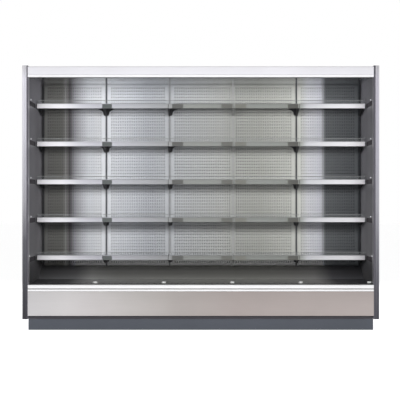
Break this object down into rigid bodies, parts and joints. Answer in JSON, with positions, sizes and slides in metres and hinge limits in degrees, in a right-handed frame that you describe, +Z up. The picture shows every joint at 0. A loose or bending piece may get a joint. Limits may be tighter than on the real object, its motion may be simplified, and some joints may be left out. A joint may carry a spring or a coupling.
{
  "type": "open multideck display fridge",
  "caption": "Open-front refrigerated wall case with hooked lift-off shelves, a lift-out deck over fans and coil, a canopy and insulated ends.",
  "frame": {"origin": "centre of the bounding box's underside: midway between the ends and between front and back, at floor level", "axes": "+X to the shopper's right along the case, -Y out of the open front, +Z up"},
  "size_m": [2.805, 0.87, 2.0825],
  "materials": {
    "galvanised": "zinc-coated steel",
    "kick_paint": "satin dark blue-grey paint",
    "tub_liner": "foam-filled tub with a pale liner",
    "stainless_front": "brushed along its length",
    "white_trim": "white extrusion",
    "end_finish": "grey end panel with metal edge strips",
    "case_back": "zinc-coated outer skin",
    "white_paint": "smooth off-white paint",
    "honeycomb_plastic": "dark cells",
    "stainless_wall": "perforated satin stainless",
    "lamp_lens": "opal lens",
    "stainless_deck": "satin stainless in shade",
    "coil_aluminium": "plain fins",
    "fan_plastic": "black",
    "upright_steel": "dark coated channel",
    "shelf_steel": "satin"
  },
  "bodies": {
    "case": {"base_frame": "galvanised", "kick_plate": "kick_paint", "insulated_tub": "tub_liner", "lower_panel": "stainless_front", "bumper": "white_trim", "left_end_panel": "end_finish", "right_end_panel": "end_finish", "rear_wall": "case_back", "roof_panel": "case_back", "canopy": "white_paint", "canopy_trim": "white_trim", "air_honeycomb": "honeycomb_plastic", "ceiling_panel": "stainless_wall", "canopy_lamp": "lamp_lens", "rear_baffle": "stainless_deck", "fan_plenum": "galvanised", "evaporator_coil": "coil_aluminium", "upright_1": "upright_steel", "upright_2": "upright_steel", "upright_3": "upright_steel", "upright_4": "upright_steel", "upright_5": "upright_steel", "upright_6": "upright_steel", "rear_panel_1": "stainless_wall", "rear_panel_2": "stainless_wall", "rear_panel_3": "stainless_wall", "rear_panel_4": "stainless_wall", "rear_panel_5": "stainless_wall"},
    "fan_1": {"fan_1": "fan_plastic"},
    "fan_2": {"fan_2": "fan_plastic"},
    "deck_pan_1": {"deck_pan_1": "stainless_deck"},
    "shelf_level1_bay1": {"shelf_level1_bay1": "shelf_steel"},
    "shelf_level2_bay1": {"shelf_level2_bay1": "shelf_steel"},
    "shelf_level3_bay1": {"shelf_level3_bay1": "shelf_steel"},
    "shelf_level4_bay1": {"shelf_level4_bay1": "shelf_steel"},
    "shelf_level5_bay1": {"shelf_level5_bay1": "shelf_steel"},
    "deck_pan_2": {"deck_pan_2": "stainless_deck"},
    "shelf_level1_bay2": {"shelf_level1_bay2": "shelf_steel"},
    "shelf_level2_bay2": {"shelf_level2_bay2": "shelf_steel"},
    "shelf_level3_bay2": {"shelf_level3_bay2": "shelf_steel"},
    "shelf_level4_bay2": {"shelf_level4_bay2": "shelf_steel"},
    "shelf_level5_bay2": {"shelf_level5_bay2": "shelf_steel"},
    "deck_pan_3": {"deck_pan_3": "stainless_deck"},
    "shelf_level1_bay3": {"shelf_level1_bay3": "shelf_steel"},
    "shelf_level2_bay3": {"shelf_level2_bay3": "shelf_steel"},
    "shelf_level3_bay3": {"shelf_level3_bay3": "shelf_steel"},
    "shelf_level4_bay3": {"shelf_level4_bay3": "shelf_steel"},
    "shelf_level5_bay3": {"shelf_level5_bay3": "shelf_steel"},
    "deck_pan_4": {"deck_pan_4": "stainless_deck"},
    "shelf_level1_bay4": {"shelf_level1_bay4": "shelf_steel"},
    "shelf_level2_bay4": {"shelf_level2_bay4": "shelf_steel"},
    "shelf_level3_bay4": {"shelf_level3_bay4": "shelf_steel"},
    "shelf_level4_bay4": {"shelf_level4_bay4": "shelf_steel"},
    "shelf_level5_bay4": {"shelf_level5_bay4": "shelf_steel"},
    "deck_pan_5": {"deck_pan_5": "stainless_deck"},
    "shelf_level1_bay5": {"shelf_level1_bay5": "shelf_steel"},
    "shelf_level2_bay5": {"shelf_level2_bay5": "shelf_steel"},
    "shelf_level3_bay5": {"shelf_level3_bay5": "shelf_steel"},
    "shelf_level4_bay5": {"shelf_level4_bay5": "shelf_steel"},
    "shelf_level5_bay5": {"shelf_level5_bay5": "shelf_steel"}
  },
  "joints": [
    {"name": "fan_1_spin", "type": "hinge", "parent": "case", "child": "fan_1", "pos_m": [-0.67875, 0.065, 0.25185], "axis": [0, 1, 0], "continuous": true},
    {"name": "fan_2_spin", "type": "hinge", "parent": "case", "child": "fan_2", "pos_m": [0.67875, 0.065, 0.25185], "axis": [0, 1, 0], "continuous": true},
    {"name": "deck_pan_1_lift", "type": "hinge", "parent": "case", "child": "deck_pan_1", "pos_m": [-1.086, 0.123, 0.3673], "axis": [-1, 0, 0], "range_deg": [0, 40]},
    {"name": "deck_pan_2_lift", "type": "hinge", "parent": "case", "child": "deck_pan_2", "pos_m": [-0.543, 0.123, 0.3673], "axis": [-1, 0, 0], "range_deg": [0, 40]},
    {"name": "deck_pan_3_lift", "type": "hinge", "parent": "case", "child": "deck_pan_3", "pos_m": [0, 0.123, 0.3673], "axis": [-1, 0, 0], "range_deg": [0, 40]},
    {"name": "deck_pan_4_lift", "type": "hinge", "parent": "case", "child": "deck_pan_4", "pos_m": [0.543, 0.123, 0.3673], "axis": [-1, 0, 0], "range_deg": [0, 40]},
    {"name": "deck_pan_5_lift", "type": "hinge", "parent": "case", "child": "deck_pan_5", "pos_m": [1.086, 0.123, 0.3673], "axis": [-1, 0, 0], "range_deg": [0, 40]},
    {"name": "shelf_level1_bay1_tilt", "type": "hinge", "parent": "case", "child": "shelf_level1_bay1", "pos_m": [-1.0756, 0.307, 0.5483], "axis": [-1, 0, 0], "range_deg": [0, 12]},
    {"name": "shelf_level2_bay1_tilt", "type": "hinge", "parent": "case", "child": "shelf_level2_bay1", "pos_m": [-1.0756, 0.307, 0.8591], "axis": [-1, 0, 0], "range_deg": [0, 12]},
    {"name": "shelf_level3_bay1_tilt", "type": "hinge", "parent": "case", "child": "shelf_level3_bay1", "pos_m": [-1.0756, 0.307, 1.1699], "axis": [-1, 0, 0], "range_deg": [0, 12]},
    {"name": "shelf_level4_bay1_tilt", "type": "hinge", "parent": "case", "child": "shelf_level4_bay1", "pos_m": [-1.0756, 0.307, 1.4807], "axis": [-1, 0, 0], "range_deg": [0, 12]},
    {"name": "shelf_level5_bay1_tilt", "type": "hinge", "parent": "case", "child": "shelf_level5_bay1", "pos_m": [-1.0756, 0.307, 1.7915], "axis": [-1, 0, 0], "range_deg": [0, 12]},
    {"name": "shelf_level1_bay2_tilt", "type": "hinge", "parent": "case", "child": "shelf_level1_bay2", "pos_m": [-0.5378, 0.307, 0.5483], "axis": [-1, 0, 0], "range_deg": [0, 12]},
    {"name": "shelf_level2_bay2_tilt", "type": "hinge", "parent": "case", "child": "shelf_level2_bay2", "pos_m": [-0.5378, 0.307, 0.8591], "axis": [-1, 0, 0], "range_deg": [0, 12]},
    {"name": "shelf_level3_bay2_tilt", "type": "hinge", "parent": "case", "child": "shelf_level3_bay2", "pos_m": [-0.5378, 0.307, 1.1699], "axis": [-1, 0, 0], "range_deg": [0, 12]},
    {"name": "shelf_level4_bay2_tilt", "type": "hinge", "parent": "case", "child": "shelf_level4_bay2", "pos_m": [-0.5378, 0.307, 1.4807], "axis": [-1, 0, 0], "range_deg": [0, 12]},
    {"name": "shelf_level5_bay2_tilt", "type": "hinge", "parent": "case", "child": "shelf_level5_bay2", "pos_m": [-0.5378, 0.307, 1.7915], "axis": [-1, 0, 0], "range_deg": [0, 12]},
    {"name": "shelf_level1_bay3_tilt", "type": "hinge", "parent": "case", "child": "shelf_level1_bay3", "pos_m": [0, 0.307, 0.5483], "axis": [-1, 0, 0], "range_deg": [0, 12]},
    {"name": "shelf_level2_bay3_tilt", "type": "hinge", "parent": "case", "child": "shelf_level2_bay3", "pos_m": [0, 0.307, 0.8591], "axis": [-1, 0, 0], "range_deg": [0, 12]},
    {"name": "shelf_level3_bay3_tilt", "type": "hinge", "parent": "case", "child": "shelf_level3_bay3", "pos_m": [0, 0.307, 1.1699], "axis": [-1, 0, 0], "range_deg": [0, 12]},
    {"name": "shelf_level4_bay3_tilt", "type": "hinge", "parent": "case", "child": "shelf_level4_bay3", "pos_m": [0, 0.307, 1.4807], "axis": [-1, 0, 0], "range_deg": [0, 12]},
    {"name": "shelf_level5_bay3_tilt", "type": "hinge", "parent": "case", "child": "shelf_level5_bay3", "pos_m": [0, 0.307, 1.7915], "axis": [-1, 0, 0], "range_deg": [0, 12]},
    {"name": "shelf_level1_bay4_tilt", "type": "hinge", "parent": "case", "child": "shelf_level1_bay4", "pos_m": [0.5378, 0.307, 0.5483], "axis": [-1, 0, 0], "range_deg": [0, 12]},
    {"name": "shelf_level2_bay4_tilt", "type": "hinge", "parent": "case", "child": "shelf_level2_bay4", "pos_m": [0.5378, 0.307, 0.8591], "axis": [-1, 0, 0], "range_deg": [0, 12]},
    {"name": "shelf_level3_bay4_tilt", "type": "hinge", "parent": "case", "child": "shelf_level3_bay4", "pos_m": [0.5378, 0.307, 1.1699], "axis": [-1, 0, 0], "range_deg": [0, 12]},
    {"name": "shelf_level4_bay4_tilt", "type": "hinge", "parent": "case", "child": "shelf_level4_bay4", "pos_m": [0.5378, 0.307, 1.4807], "axis": [-1, 0, 0], "range_deg": [0, 12]},
    {"name": "shelf_level5_bay4_tilt", "type": "hinge", "parent": "case", "child": "shelf_level5_bay4", "pos_m": [0.5378, 0.307, 1.7915], "axis": [-1, 0, 0], "range_deg": [0, 12]},
    {"name": "shelf_level1_bay5_tilt", "type": "hinge", "parent": "case", "child": "shelf_level1_bay5", "pos_m": [1.0756, 0.307, 0.5483], "axis": [-1, 0, 0], "range_deg": [0, 12]},
    {"name": "shelf_level2_bay5_tilt", "type": "hinge", "parent": "case", "child": "shelf_level2_bay5", "pos_m": [1.0756, 0.307, 0.8591], "axis": [-1, 0, 0], "range_deg": [0, 12]},
    {"name": "shelf_level3_bay5_tilt", "type": "hinge", "parent": "case", "child": "shelf_level3_bay5", "pos_m": [1.0756, 0.307, 1.1699], "axis": [-1, 0, 0], "range_deg": [0, 12]},
    {"name": "shelf_level4_bay5_tilt", "type": "hinge", "parent": "case", "child": "shelf_level4_bay5", "pos_m": [1.0756, 0.307, 1.4807], "axis": [-1, 0, 0], "range_deg": [0, 12]},
    {"name": "shelf_level5_bay5_tilt", "type": "hinge", "parent": "case", "child": "shelf_level5_bay5", "pos_m": [1.0756, 0.307, 1.7915], "axis": [-1, 0, 0], "range_deg": [0, 12]}
  ]
}
